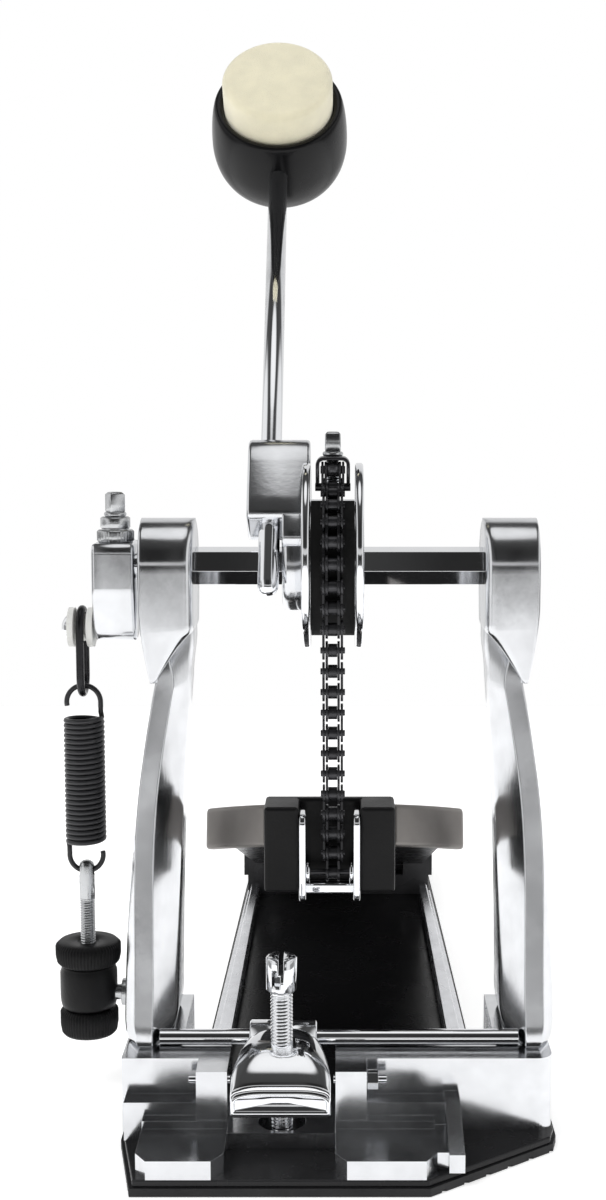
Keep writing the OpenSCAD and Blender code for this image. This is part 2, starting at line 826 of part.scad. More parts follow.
module footboard() {
    color("#141416") difference() {
        union() {
            on_board() translate([0, 0, -2]) linear_extrude(board_t) board_outline();
            bar_x(-33.4, 66.8, [hinge_y, hinge_z], 5.6);
        }
        bar_x(-60, 120, [hinge_y, hinge_z], 3 + running);
        toe_block_space(0.05);
        on_board() for (y = [-40 : -22 : -216]) translate([-30, y, board_t - 2.8])
            cube([60, 3, 5]);
    }
}

// A curved lip that stops the foot at the toe
module toe_lip() {
    a = acos((board_w / 2) / toe_r);
    color("#7f7b76") difference() {
        on_board() translate([0, 0, -lip_drop]) linear_extrude(lip_h)
            polygon(concat(arc(toe_c, toe_r, -a, a - 180, 40),
                arc(toe_c, toe_r - lip_t, a - 180, -a, 40)));
        toe_block_space(0.05);
    }
}

module toe_block() {
    color("#111113") difference() {
        translate([block_x[0], block_y[0], block_z[0]])
            cube([block_x[1] - block_x[0], block_y[1] - block_y[0], block_z[1] - block_z[0]]);
        translate([-15, block_y[0] - 1, block_z[0] - 1])
            cube([23, 15.7, block_z[1] - block_z[0] + 2]);
    }
}

// A U-shaped bracket that holds the chain's last pin
module chain_bracket() {
    color("#d0d2d6") difference() {
        translate([-14.9, -22, 80]) cube([22.8, 16.6, 34]);
        translate([-12.4, -23, 79]) cube([17.8, 15.6, 36]);
        bar_x(-20, 40, toe_pin, pin_r + press);
    }
}

module bracket_pin() {
    color("#26262a") bar_x(-14.9, 22.8, toe_pin, pin_r);
}

rubber_mat();
base_plate();
side_rail_left();
side_rail_right();
frame_casting();
post_left();
post_right();
post_bolts();
pivot_rod();
guide_screws();
guide_nut();
bearing_outer_rings();
heel_plate();
heel_screws();
hinge_pin();
anchor_bolt();
clamp_claw();
claw_pad();
clamp_bolt();
hex_axle();
bearing_inner_rings();
cam_flange_left();
cam_flange_right();
cam_drum();
cam_lining();
chain_saddle();
saddle_screw();
chain_anchor_pin();
wrap_plates();
wrap_pins();
beater_hub();
hub_screw();
spring_rocker();
rocker_collar();
rocker_screw();
roller_screw();
bearing_balls();
spring_roller();
spring_link();
spring_upper_hook();
spring_coil();
spring_lower_hook();
tension_rod();
anchor_body();
upper_knob();
lower_knob();
beater_rod();
beater_housing();
beater_felt();
footboard();
toe_lip();
toe_block();
chain_bracket();
bracket_pin();
span_plates();
span_pins();
chain_link_1();
chain_link_2();
chain_link_3();
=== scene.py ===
"""Looks of a chain-drive bass drum pedal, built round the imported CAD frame.

Lengths in the builders below are in millimetres, and become metres where a mesh is made.
The camera, the floor and the lights are in metres."""

import json
import math

import bpy
import numpy as np
from mathutils import Matrix, Vector


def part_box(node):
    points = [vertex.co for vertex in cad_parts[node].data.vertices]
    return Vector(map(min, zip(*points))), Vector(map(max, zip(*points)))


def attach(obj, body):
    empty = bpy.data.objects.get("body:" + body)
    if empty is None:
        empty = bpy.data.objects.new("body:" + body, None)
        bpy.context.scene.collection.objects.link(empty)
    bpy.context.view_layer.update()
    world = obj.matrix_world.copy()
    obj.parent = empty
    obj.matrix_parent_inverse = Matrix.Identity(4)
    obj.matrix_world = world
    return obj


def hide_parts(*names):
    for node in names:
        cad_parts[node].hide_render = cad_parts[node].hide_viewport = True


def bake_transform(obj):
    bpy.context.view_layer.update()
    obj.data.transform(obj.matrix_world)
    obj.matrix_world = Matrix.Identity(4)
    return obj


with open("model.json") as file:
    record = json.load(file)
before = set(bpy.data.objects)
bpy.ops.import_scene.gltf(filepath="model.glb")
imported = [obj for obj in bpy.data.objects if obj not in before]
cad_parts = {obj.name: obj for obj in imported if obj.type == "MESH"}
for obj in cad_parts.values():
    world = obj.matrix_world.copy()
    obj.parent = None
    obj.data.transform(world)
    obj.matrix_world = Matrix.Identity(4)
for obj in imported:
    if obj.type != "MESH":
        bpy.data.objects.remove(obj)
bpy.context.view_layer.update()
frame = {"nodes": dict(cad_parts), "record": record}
MM = 0.001


def span_x(node):
    """A CAD node's lowest and highest X."""
    low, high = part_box(node)
    return low.x * 1000, high.x * 1000


# places and sizes that the pieces share with the CAD model
AXLE_Z = 205.0
LEAN = math.radians(37)
ROD_X, ROD_OFF, ROD_R = -26.0, 12.4, 4.0
HEAD_DIST = 215.6
FELT_FRONT = 29.5
SPRING_X = -97.3
CHAIN_X = -2.3
CLAW_X, BOLT_Y = -20.3, -57.0
CLAW_PIVOT_Y, CLAW_PIVOT_Z, PAD_TOP = -39, 35.5, 21.0
BLOCK_TOP = 32.7
NECK_Z = 162
HOUSING_IN, HOUSING_W, HOUSING_R = 53.9, 20.3, 18.0
HINGE_Y, HINGE_Z, BOARD_SLOPE = 240, 22, math.radians(18.8)
BRACKET_PIN_Y, BRACKET_PIN_Z = -12, 89.674
KEY_SIDE = 5.9
ROCKER_X0, ROCKER_X1 = span_x("spring_rocker")
ROCKER_MID = (ROCKER_X0 + ROCKER_X1) / 2
ALONG_X = Matrix.Rotation(math.pi / 2, 4, "Y")


# ---------------------------------------------------------------- camera, floor and light

def make_camera():
    """A camera in front of the drum's side, a little above the axle and looking slightly down."""
    data = bpy.data.cameras.new("camera")
    data.lens, data.sensor_width = 49.3, 36.0
    data.shift_x = -0.030
    data.clip_start, data.clip_end = 0.02, 60
    camera = bpy.data.objects.new("camera", data)
    camera.location = (0.0, -0.617, 0.267)
    camera.rotation_euler = (math.radians(83.06), 0, 0)
    bpy.context.scene.collection.objects.link(camera)
    bpy.context.scene.camera = camera


def node_tree(owner):
    """The owner's node tree, emptied."""
    owner.use_nodes = True
    owner.node_tree.nodes.clear()
    return owner.node_tree


# Brightness of the studio along X, Z and Y, as (place from 0 to 1, value) stops. The brightest of the three
# counts, so there are soft boxes on both sides, a low band, a ceiling and a far wall, with dark gaps between.
STUDIO_ACROSS = [(0.0, 0.40), (0.03, 0.45), (0.06, 1.15), (0.14, 1.15), (0.21, 0.10), (0.45, 0.02),
                 (0.50, 0.06), (0.55, 0.02), (0.77, 0.10), (0.85, 1.1), (0.94, 1.1), (0.97, 0.40),
                 (1.0, 0.35)]
STUDIO_UP = [(0.0, 0.10), (0.40, 0.20), (0.48, 0.10), (0.51, 0.02), (0.543, 0.03), (0.558, 0.90),
             (0.605, 0.80), (0.62, 0.03), (0.80, 0.03), (0.962, 0.08), (0.982, 1.2), (1.0, 1.3)]
STUDIO_FAR = [(0.0, 0.02), (0.5, 0.03), (0.80, 0.06), (0.88, 0.9), (1.0, 1.0)]
STUDIO_STRENGTH = 0.80


def make_world():
    """A white studio: the camera sees plain white, and shiny metal sees the studio's boxes and gaps."""
    world = bpy.data.worlds.new("studio")
    bpy.context.scene.world = world
    tree = node_tree(world)
    new, link = tree.nodes.new, tree.links.new
    coord, split = new("ShaderNodeTexCoord"), new("ShaderNodeSeparateXYZ")
    link(coord.outputs["Generated"], split.inputs[0])

    def ramp(source, stops):
        """A grey ramp over source through the given stops."""
        node = new("ShaderNodeValToRGB")
        node.color_ramp.interpolation = "EASE"
        first, last = node.color_ramp.elements[0], node.color_ramp.elements[1]
        first.position, last.position = stops[0][0], stops[-1][0]
        first.color, last.color = [stops[0][1]] * 3 + [1], [stops[-1][1]] * 3 + [1]
        for place, value in stops[1:-1]:
            node.color_ramp.elements.new(place).color = [value] * 3 + [1]
        link(source, node.inputs[0])
        return node.outputs[0]

    def half(source):
        """Moves a value from -1..1 to 0..1."""
        node = new("ShaderNodeMath")
        node.operation = "MULTIPLY_ADD"
        node.inputs[1].default_value, node.inputs[2].default_value = 0.5, 0.5
        link(source, node.inputs[0])
        return node.outputs[0]

    across = ramp(half(split.outputs[0]), STUDIO_ACROSS)
    up = ramp(half(split.outputs[2]), STUDIO_UP)
    far = ramp(half(split.outputs[1]), STUDIO_FAR)

    def brighter(a, b):
        """The brighter of two greys."""
        node = new("ShaderNodeMix")
        node.data_type, node.blend_type, node.clamp_result = "RGBA", "LIGHTEN", False
        node.inputs[0].default_value = 1
        link(a, node.inputs[6])
        link(b, node.inputs[7])
        return node.outputs[2]

    path = new("ShaderNodeLightPath")
    white, studio = new("ShaderNodeBackground"), new("ShaderNodeBackground")
    shown, out = new("ShaderNodeMixShader"), new("ShaderNodeOutputWorld")
    link(brighter(brighter(across, up), far), studio.inputs[0])
    studio.inputs[1].default_value = STUDIO_STRENGTH
    white.inputs[0].default_value, white.inputs[1].default_value = (1, 1, 1, 1), 1.0
    link(path.outputs["Is Camera Ray"], shown.inputs[0])
    link(studio.outputs[0], shown.inputs[1])
    link(white.outputs[0], shown.inputs[2])
    link(shown.outputs[0], out.inputs[0])


def make_floor():
    """A pale floor just under the part, which glows a little so that it stays white."""
    mesh = bpy.data.meshes.new("floor")
    x, front, back, z = 0.8, -1.7, 0.8, -0.0002
    grey, glow = 0.80, 0.55
    mesh.from_pydata([(-x, front, z), (x, front, z), (x, back, z), (-x, back, z)], [], [(0, 1, 2, 3)])
    floor = bpy.data.objects.new("floor", mesh)
    bpy.context.scene.collection.objects.link(floor)
    paint = bpy.data.materials.new("floor_paint")
    tree = node_tree(paint)
    shader, out = tree.nodes.new("ShaderNodeBsdfPrincipled"), tree.nodes.new("ShaderNodeOutputMaterial")
    shader.inputs["Base Color"].default_value = (grey, grey, grey, 1)
    shader.inputs["Roughness"].default_value = 0.7
    shader.inputs["Emission Color"].default_value = (1, 1, 1, 1)
    shader.inputs["Emission Strength"].default_value = glow
    tree.links.new(shader.outputs[0], out.inputs[0])
    mesh.materials.append(paint)


def make_light(name, place, size, power):
    """A soft box aimed at the middle of the part, which shiny metal doesn't mirror."""
    aim = Vector((0, 0, 0.18))
    data = bpy.data.lights.new(name, "AREA")
    data.shape, data.size, data.size_y, data.energy = "RECTANGLE", size[0], size[1], power
    light = bpy.data.objects.new(name, data)
    light.location = place
    light.rotation_euler = (aim - Vector(place)).to_track_quat("-Z", "Y").to_euler()
    light.visible_glossy = False
    bpy.context.scene.collection.objects.link(light)


make_camera()
make_world()
make_floor()
make_light("key", (-0.9, -0.7, 1.5), (0.8, 0.8), 13)
make_light("fill", (1.2, -0.3, 1.1), (0.7, 1.0), 5)
make_light("back", (0.0, 1.2, 1.5), (1.6, 0.6), 8)
bpy.context.scene.view_settings.view_transform = "Standard"


# ---------------------------------------------------------------- materials

def make_material(name, colour, rough, metal=0.0, grain=(900, 900, 900), bump=0.05, vary=0.06, spread=0.05,
                  sheen=0.0, wear=None, ior=1.5):
    """A finish with fine grain in its bump, and slow changes of colour and roughness over the surface."""
    mat = bpy.data.materials.new(name)
    tree = node_tree(mat)
    new, link = tree.nodes.new, tree.links.new
    shader, out = new("ShaderNodeBsdfPrincipled"), new("ShaderNodeOutputMaterial")
    coord = new("ShaderNodeTexCoord")
    link(shader.outputs[0], out.inputs[0])
    shader.inputs["Metallic"].default_value = metal
    shader.inputs["IOR"].default_value = ior
    if sheen:
        shader.inputs["Sheen Weight"].default_value = sheen
        shader.inputs["Sheen Roughness"].default_value = 0.6

    def noise(scale, detail, stretch=(1, 1, 1)):
        """Noise in the object's own metres."""
        mapping, node = new("ShaderNodeMapping"), new("ShaderNodeTexNoise")
        mapping.inputs["Scale"].default_value = stretch
        node.inputs["Scale"].default_value, node.inputs["Detail"].default_value = scale, detail
        link(coord.outputs["Object"], mapping.inputs[0])
        link(mapping.outputs[0], node.inputs["Vector"])
        return node.outputs["Fac"]

    def scaled(source, low, high):
        """Spreads the middle of a noise over low to high."""
        node = new("ShaderNodeMapRange")
        node.inputs["From Min"].default_value, node.inputs["From Max"].default_value = 0.3, 0.7
        node.inputs["To Min"].default_value, node.inputs["To Max"].default_value = low, high
        link(source, node.inputs[0])
        return node.outputs[0]

    link(scaled(noise(45, 4), max(0.02, rough - spread), rough + spread), shader.inputs["Roughness"])
    tone = new("ShaderNodeMix")
    tone.data_type = "RGBA"
    tone.inputs[6].default_value = [c * (1 - vary) for c in colour] + [1]
    tone.inputs[7].default_value = [min(1.0, c * (1 + vary)) for c in colour] + [1]
    link(scaled(noise(120, 3), 0.0, 1.0), tone.inputs[0])
    colour_out = tone.outputs[2]
    if wear:
        # bare or dusty edges: pointed places on the mesh take the wear colour
        shape, edge, worn = new("ShaderNodeNewGeometry"), new("ShaderNodeMapRange"), new("ShaderNodeMix")
        edge.inputs["From Min"].default_value, edge.inputs["From Max"].default_value = 0.53, 0.62
        edge.inputs["To Max"].default_value = 0.55
        worn.data_type = "RGBA"
        worn.inputs[7].default_value = list(wear) + [1]
        link(shape.outputs["Pointiness"], edge.inputs[0])
        link(edge.outputs[0], worn.inputs[0])
        link(colour_out, worn.inputs[6])
        colour_out = worn.outputs[2]
    link(colour_out, shader.inputs["Base Color"])
    lumps = new("ShaderNodeBump")
    lumps.inputs["Strength"].default_value, lumps.inputs["Distance"].default_value = bump, 0.0004
    link(noise(1.0, 3, grain), lumps.inputs["Height"])
    link(lumps.outputs[0], shader.inputs["Normal"])
    return mat


LOOKS = {
    "rubber_black": dict(colour=(0.009, 0.009, 0.010), rough=0.66, bump=0.3, spread=0.1),
    "painted_black": dict(colour=(0.004, 0.004, 0.0045), rough=0.26, bump=0.12, ior=1.3,
                          wear=(0.10, 0.10, 0.105)),
    "rail_aluminium": dict(colour=(0.86, 0.87, 0.90), rough=0.26, metal=1.0, grain=(2500, 60, 2500),
                           bump=0.10),
    "cast_polished": dict(colour=(0.74, 0.75, 0.77), rough=0.17, metal=1.0, grain=(420, 900, 160),
                          bump=0.05, vary=0.05, spread=0.06),
    "chrome_plate": dict(colour=(0.86, 0.87, 0.89), rough=0.06, metal=1.0, grain=(300, 300, 300),
                         bump=0.015, vary=0.02, spread=0.03),
    "steel_zinc": dict(colour=(0.56, 0.57, 0.58), rough=0.24, metal=1.0, grain=(900, 900, 900), bump=0.08),
    "bearing_steel": dict(colour=(0.62, 0.63, 0.65), rough=0.16, metal=1.0, grain=(600, 2500, 2500),
                          bump=0.05),
    "black_steel": dict(colour=(0.018, 0.018, 0.020), rough=0.24, metal=0.6, grain=(1500, 1500, 1500),
                        bump=0.10, vary=0.3, spread=0.08, wear=(0.30, 0.30, 0.32)),
    "lining_black": dict(colour=(0.012, 0.012, 0.012), rough=0.75, bump=0.4),
    "nylon_white": dict(colour=(0.84, 0.84, 0.81), rough=0.42, bump=0.05, vary=0.03),
    "plastic_black": dict(colour=(0.006, 0.006, 0.0065), rough=0.42, bump=0.25, spread=0.08, ior=1.3),
    "shell_black": dict(colour=(0.005, 0.005, 0.0055), rough=0.24, bump=0.06, spread=0.05, ior=1.3),
    "felt_cream": dict(colour=(0.92, 0.86, 0.63), rough=0.95, grain=(2600, 2600, 2600), bump=0.9, vary=0.05,
                       sheen=0.6),
    "lip_satin": dict(colour=(0.33, 0.31, 0.295), rough=0.40, metal=0.55, grain=(1600, 1600, 1600),
                      bump=0.10),
    "spring_black": dict(colour=(0.012, 0.012, 0.013), rough=0.34, metal=0.4, grain=(2000, 2000, 2000),
                         bump=0.08, wear=(0.14, 0.14, 0.15)),
}
FINISH = {slot: make_material(slot, **look) for slot, look in LOOKS.items()}
SLOT_OF = {s["node"]: s["material_slot"] for s in frame["record"]["subparts"]}
BODY_OF = {n: body for body, nodes in frame["record"]["behaviour"]["bodies"].items() for n in nodes}

# Bevel width on the larger CAD nodes that stay in view; the others get the small one
EDGE = {"frame_casting": 1.0, "heel_plate": 1.0, "side_rail_left": 0.6, "side_rail_right": 0.6,
        "footboard": 0.6, "toe_block": 1.2, "base_plate": 0.5}
SMALL_EDGE = 0.15


def dress_cad_node(name, node):
    """Gives a CAD node its finish, and rounds its edges with modifiers that leave its mesh alone."""
    node.data.materials.clear()
    node.data.materials.append(FINISH[SLOT_OF[name]])
    weld = node.modifiers.new("weld", "WELD")
    weld.merge_threshold = 0.00001
    flat = node.modifiers.new("flats", "DECIMATE")
    flat.decimate_type, flat.angle_limit = "DISSOLVE", math.radians(0.6)
    bevel = node.modifiers.new("edges", "BEVEL")
    bevel.width = EDGE.get(name, SMALL_EDGE) * MM
    bevel.segments, bevel.limit_method, bevel.angle_limit = 2, "ANGLE", math.radians(35)
    bevel.harden_normals = True
    node.modifiers.new("normals", "WEIGHTED_NORMAL").keep_sharp = True


for node_name, cad in frame["nodes"].items():
    dress_cad_node(node_name, cad)


# ---------------------------------------------------------------- mesh builders

def add_piece(name, verts, faces, node, matrix=None):
    """Makes a piece from a mesh in millimetres; it stands for a CAD node and rides on its body."""
    mesh = bpy.data.meshes.new(name)
    mesh.from_pydata([tuple(v) for v in verts], [], faces)
    mesh.transform(Matrix.Scale(MM, 4) @ (matrix or Matrix.Identity(4)))
    mesh.validate()
    mesh.polygons.foreach_set("use_smooth", [True] * len(mesh.polygons))
    mesh.update()
    slot = SLOT_OF[node]
    mesh.materials.append(FINISH[slot])
    piece = bpy.data.objects.new(name, mesh)
    bpy.context.scene.collection.objects.link(piece)
    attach(piece, BODY_OF[node])
    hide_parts(node)
    return piece


def cut_away(piece, name, verts, faces, matrix):
    """Cuts a solid in millimetres, put at matrix in metres, out of piece."""
    mesh = bpy.data.meshes.new(name)
    mesh.from_pydata([tuple(np.asarray(v) * MM) for v in verts], [], faces)
    cutter = bpy.data.objects.new(name, mesh)
    cutter.matrix_world = matrix
    bpy.context.scene.collection.objects.link(cutter)
    cut = piece.modifiers.new("cut", "BOOLEAN")
    cut.object, cut.operation, cut.solver = cutter, "DIFFERENCE", "EXACT"
    bpy.context.view_layer.update()
    shown = piece.evaluated_get(bpy.context.evaluated_depsgraph_get())
    made = bpy.data.meshes.new_from_object(shown)
    made.materials.clear()
    made.materials.append(piece.data.materials[0])
    piece.modifiers.clear()
    piece.data = made
    bpy.data.objects.remove(cutter)


def joined(*parts):
    """One mesh from several closed ones, each given as (verts, faces, matrix or None)."""
    verts, faces = [], []
    for some, links, place in parts:
        base = len(verts)
        verts += [tuple(place @ Vector(v)) for v in some] if place else [tuple(v) for v in some]
        faces += [tuple(k + base for k in face) for face in links]
    return verts, faces


def grid_faces(rows, columns):
    """Quads over rows of points, each row a closed ring of columns points."""
    faces = []
    for i in range(rows - 1):
        for j in range(columns):
            k = (j + 1) % columns
            faces.append((i * columns + j, i * columns + k, (i + 1) * columns + k, (i + 1) * columns + j))
    return faces


def capped(rings):
    """A closed mesh from rings of equal length, with a fan over each end."""
    rings = [np.asarray(r, float) for r in rings]
    count = len(rings[0])
    verts = [v for r in rings for v in r]
    faces = grid_faces(len(rings), count)
    for ring, first in ((0, True), (len(rings) - 1, False)):
        centre = len(verts)
        verts.append(rings[ring].mean(0))
        for j in range(count):
            a, b = ring * count + j, ring * count + (j + 1) % count
            faces.append((b, a, centre) if first else (a, b, centre))
    return verts, faces


def turned(profile, count=64, radius_of=None):
    """A turned solid about Z from (radius, height) pairs; radius_of(angle, r, z) may shape it further."""
    rings = []
    for r, z in profile:
        ring = []
        for j in range(count):
            a = 2 * math.pi * j / count
            s = radius_of(a, r, z) if radius_of else r
            ring.append((s * math.cos(a), s * math.sin(a), z))
        rings.append(ring)
    return capped(rings)


def swept(points, radius, count):
    """A round wire along points, with closed ends."""
    pts = np.asarray(points, float)
    tangents = np.gradient(pts, axis=0)
    tangents /= np.linalg.norm(tangents, axis=1)[:, None]
    side = np.cross(tangents[0], [0.3, 0.5, 0.81])
    side /= np.linalg.norm(side)
    rings = []
    for p, t in zip(pts, tangents):
        side = side - t * (side @ t)
        side /= np.linalg.norm(side)
        up = np.cross(t, side)
        rings.append([p + radius * (side * math.cos(a) + up * math.sin(a))
                      for a in np.linspace(0, 2 * math.pi, count, endpoint=False)])
    return capped(rings)


def arc_points(centre, radius, start, end, count):
    """Points of an arc in the X-Z plane, angles in degrees."""
    x, y, z = centre
    return [(x + radius * math.cos(a), y, z + radius * math.sin(a))
            for a in np.radians(np.linspace(start, end, count))]


def box_solid(width, depth, height):
    """A box about the origin."""
    ends = (-0.5, 0.5)
    verts = [(x * width, y * depth, z * height) for x in ends for y in ends for z in ends]
    return verts, [(0, 1, 3, 2), (4, 6, 7, 5), (0, 4, 5, 1), (2, 3, 7, 6), (0, 2, 6, 4), (1, 5, 7, 3)]


def threaded(r, z0, z1, pitch, depth, count=40, per_turn=8):
    """A threaded rod about Z: a helical groove of the given depth, fading at both ends."""
    steps = int((z1 - z0) / pitch * per_turn)
    rings = []
    for i in range(steps + 1):
        z = z0 + (z1 - z0) * i / steps
        fade = min(1.0, (z - z0) / pitch, (z1 - z) / pitch)
        ring = []
        for j in range(count):
            phase = (z / pitch - j / count) % 1.0
            s = r - depth * fade * abs(2 * phase - 1)
            a = 2 * math.pi * j / count
            ring.append((s * math.cos(a), s * math.sin(a), z))
        rings.append(ring)
    return capped(rings)


def at(x, y, z=0.0):
    """A move to (x, y, z)."""
    return Matrix.Translation((x, y, z))


def leaned(x=0.0, y=0.0, z=0.0):
    """The beater rod's frame: +Z up the rod."""
    return at(0, 0, AXLE_Z) @ Matrix.Rotation(-LEAN, 4, "X") @ at(x, y, z)


def filleted(corners, z, per_corner=5):
    """A ring at height z through (x, y, radius) corners, each rounded off."""
    ring, n = [], len(corners)
    for i, (x, y, r) in enumerate(corners):
        here = np.array([x, y], float)
        ends = []
        for other in (corners[i - 1], corners[(i + 1) % n]):
            way = np.array(other[:2], float) - here
            length = max(1e-6, np.linalg.norm(way))
            ends.append(here + way / length * min(r, 0.45 * length))
        for t in np.linspace(0, 1, per_corner):
            p = (1 - t) ** 2 * ends[0] + 2 * t * (1 - t) * here + t * t * ends[1]
            ring.append((p[0], p[1], z))
    return ring


def between(z, z0, z1):
    """0 at z0, 1 at z1, smooth in between."""
    t = min(1.0, max(0.0, (z - z0) / (z1 - z0)))
    return t * t * (3 - 2 * t)


def along_x_solid(outline, x0, x1, edge):
    """A bar along X with the given (y, z) outline, its two ends softened by edge."""
    ring = np.asarray(outline, float)
    middle = ring.mean(0)
    reach = np.abs(ring - middle).max(0)
    rings = []
    for x, inset in ((x0, edge), (x0 + 0.3 * edge, 0.3 * edge), (x0 + edge, 0.0), (x1 - edge, 0.0),
                     (x1 - 0.3 * edge, 0.3 * edge), (x1, edge)):
        flat = middle + (ring - middle) * (1 - inset / reach)
        rings.append([(x, p[0], p[1]) for p in flat])
    return capped(rings)


# ---------------------------------------------------------------- spring, its rod and its knobs

def spring_wire():
    """One black wire: the lower loop, the close coil and the upper loop."""
    coil_r, loop_r, wire_r, turns, per_turn = 6.85, 6.45, 0.98, 24.5, 26
    low, high = 98.9, 146.8
    points = arc_points((SPRING_X, 0, 93.1), loop_r, 12, -186, 26)
    points += [(SPRING_X - loop_r, 0, z) for z in (95, 96.4)]
    count = int(turns * per_turn)
    for i in range(count + 1):
        a = math.pi + 2 * math.pi * turns * i / count
        z = low + (high - low) * i / count
        points.append((SPRING_X + coil_r * math.cos(a), coil_r * math.sin(a), z))
    points += [(SPRING_X + loop_r, 0, z) for z in (149, 151)]
    points += arc_points((SPRING_X, 0, 152.75), loop_r, 0, 192, 26)
    verts, faces = swept(points, wire_r, 10)
    mesh = bpy.data.meshes.new("spring_wire")
    mesh.from_pydata([tuple(v * MM) for v in np.asarray(verts)], [], faces)
    mesh.polygons.foreach_set("use_smooth", [True] * len(mesh.polygons))
    mesh.materials.append(FINISH["spring_black"])
    piece = bpy.data.objects.new("spring_wire", mesh)
    bpy.context.scene.collection.objects.link(piece)
    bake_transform(piece)
    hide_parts("spring_coil", "spring_lower_hook", "spring_upper_hook")


def tension_rod():
    """A rod with a thread up to half its free length, and a cross hole near its round top."""
    r, hole_r, hole_z = 2.95, 1.7, 86.7
    place = at(SPRING_X, 0)
    add_piece("tension_rod_thread", *threaded(r, 24, 76, 1.0, 0.45), "tension_rod", place)
    shank = [(2.6, 75.5), (r, 76.2), (r, 88.6), (2.6, 89.9), (1.6, 90.7), (0.5, 91)]
    piece = add_piece("tension_rod_shank", *turned(shank, 40), "tension_rod", place)
    cut_away(piece, "rod_hole", *turned([(hole_r, -8), (hole_r, 8)], 24),
             at(SPRING_X * MM, 0, hole_z * MM) @ ALONG_X)


def knurled_knob(name, z0, h, r, ridges):
    """A thumb nut with fine upright ridges round its rim and a chamfer at each end."""
    bore, depth, chamfer = 3.4, 0.45, 0.9
    top = z0 + h
    profile = [(bore, z0), (r - chamfer - 0.4, z0), (r - 0.5, z0 + chamfer), (r, z0 + 0.4 * h),
               (r, top - chamfer - 0.5), (r - 0.5, top - chamfer), (r - chamfer - 0.5, top - 0.05),
               (bore + 1, top - 0.05), (bore + 0.6, top - 0.6), (bore, top - 0.7)]

    def ridge(a, s, z):
        """Cuts the grooves of the knurl into the rim."""
        return s - depth * abs(math.sin(a * ridges / 2)) if s > r - 0.7 else s
    add_piece(name + "_knurled", *turned(profile, ridges * 4, ridge), name, at(SPRING_X, 0))


def anchor_body():
    """The barrel between the two knobs, a little wider at its middle."""
    bore = 3.2
    profile = [(bore, 33), (9.6, 33), (10.4, 33.7), (10.8, 35.5), (11, 38), (11, 47), (10.4, 48.6),
               (10.2, 49.2), (10.2, 50), (bore, 50)]
    add_piece("anchor_barrel", *turned(profile, 64), "anchor_body", at(SPRING_X, 0))


spring_wire()
tension_rod()
anchor_body()
knurled_knob("upper_knob", 50.5, 8.5, 12.6, 60)
knurled_knob("lower_knob", 22.4, 10.2, 11.2, 56)


# ---------------------------------------------------------------- beater

def head_frame():
    """The beater head's frame: +Z is the way the felt faces."""
    return leaned(ROD_X, -ROD_OFF, HEAD_DIST) @ Matrix.Rotation(math.pi / 2, 4, "X")


def smooth_profile(points, steps=6):
    """A smooth curve through (radius, height) points."""
    pts = np.asarray([points[0]] + list(points) + [points[-1]], float)
    out = []
    for i in range(1, len(pts) - 2):
        p0, p1, p2, p3 = pts[i - 1:i + 3]
        for t in np.linspace(0, 1, steps, endpoint=False):
            out.append(0.5 * (2 * p1 + (p2 - p0) * t + (2 * p0 - 5 * p1 + 4 * p2 - p3) * t * t
                              + (3 * p1 - p0 - 3 * p2 + p3) * t ** 3))
    out.append(pts[-2])
    return [tuple(p) for p in out]


def beater_housing():
    """A black shell that holds the felt, with a rim round it and a closed egg-shaped back."""
    outside = smooth_profile([(25.3, 14.3), (26.7, 14.1), (27.8, 12.4), (28.9, 6), (29.5, -3), (29.2, -11),
                              (27.2, -18.5), (22.8, -25), (14, -30.4), (1.0, -32.4)])
    inside = [(0.8, 8.4), (22.0, 8.4), (23.6, 9.4), (23.7, 12.6), (24.2, 13.8)]
    add_piece("beater_shell", *turned(inside + outside, 96), "beater_housing", head_frame())


def beater_felt():
    """A hard felt disc with a worn round edge and a slightly domed face."""
    rng = np.random.default_rng(7)
    bumps = rng.normal(size=(5, 3))
    r, edge, dome, uneven = 23.45, 3.6, 0.8, 0.0025
    flat = FELT_FRONT - 0.9
    profile = [(0.3, 8.8), (23.3, 8.8), (23.4, 12.4), (r, 18.4)]
    profile += [(r - edge + edge * math.cos(a), flat - edge + edge * math.sin(a))
                for a in np.linspace(0, math.pi / 2, 9)[1:]]
    profile += [(x, flat + dome * (1 - (x / 19.5) ** 2)) for x in (17, 14, 11, 8, 5, 2, 0.4)]

    def soft(a, s, z):
        """Makes the felt slightly out of round."""
        wave = sum(b[0] * math.sin((k + 2) * a + b[1] * 3 + z * 0.12 * b[2]) for k, b in enumerate(bumps))
        return s * (1 + uneven * wave)
    piece = add_piece("beater_felt_disc", *turned(profile, 96, soft), "beater_felt", head_frame())


def beater_rod():
    """A straight rod with a rounded lower tip; its upper end is inside the shell."""
    tip, top = -20, 207
    profile = [(0.4, tip), (1.8, tip + 0.4), (3.0, tip + 1.4), (3.8, tip + 3), (ROD_R, tip + 4.6),
               (ROD_R, 60), (ROD_R, top), (0.4, top)]
    add_piece("beater_rod_bar", *turned(profile, 48), "beater_rod", leaned(ROD_X, -ROD_OFF, 0))


beater_housing()
beater_felt()
beater_rod()


# ---------------------------------------------------------------- posts

def post_limits(z):
    """Inner and outer X, front and rear Y of a post at height z; over the neck they become the housing's."""
    low, rise = min(z, NECK_Z), (z - BLOCK_TOP) / 140
    t = max(0.0, low - 40) / 121
    outer, inner = 79 - 10 * t ** 2.2, 60.5 - 4.5 * t ** 2
    front, rear = -45 + 31 * max(rise, 0) ** 0.85, 6 + 7 * rise
    s = between(z, NECK_Z, NECK_Z + 24)
    outer, inner = outer + (HOUSING_IN + HOUSING_W - outer) * s, inner + (HOUSING_IN - inner) * s
    s = between(z, NECK_Z, AXLE_Z - 8)
    half = HOUSING_R - 0.3
    return inner, outer, front * (1 - s) - half * s, rear * (1 - s) + half * s


